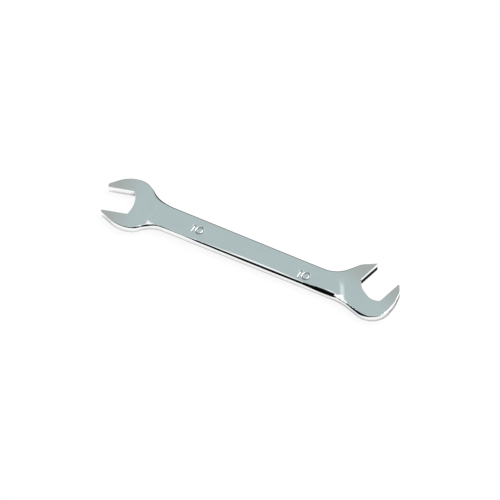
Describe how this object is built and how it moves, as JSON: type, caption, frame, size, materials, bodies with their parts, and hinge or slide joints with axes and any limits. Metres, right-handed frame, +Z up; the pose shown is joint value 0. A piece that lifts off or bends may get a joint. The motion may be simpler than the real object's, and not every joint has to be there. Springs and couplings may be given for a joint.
{
  "type": "angled wrench",
  "caption": "Slim double open-end wrench, one jaw head turned slightly from the flat handle and the other turned sharply.",
  "frame": {"origin": "middle of the handle's lower face, on the surface that the wrench lies on", "axes": "+X along the handle towards the sharply turned head, +Y across the handle towards that head's mouth, +Z up out of the upper face"},
  "size_m": [0.106, 0.0246, 0.0029],
  "materials": {
    "chrome": "polished chrome plate over forged steel"
  },
  "bodies": {
    "root": {"wrench_body": "chrome"}
  },
  "joints": []
}
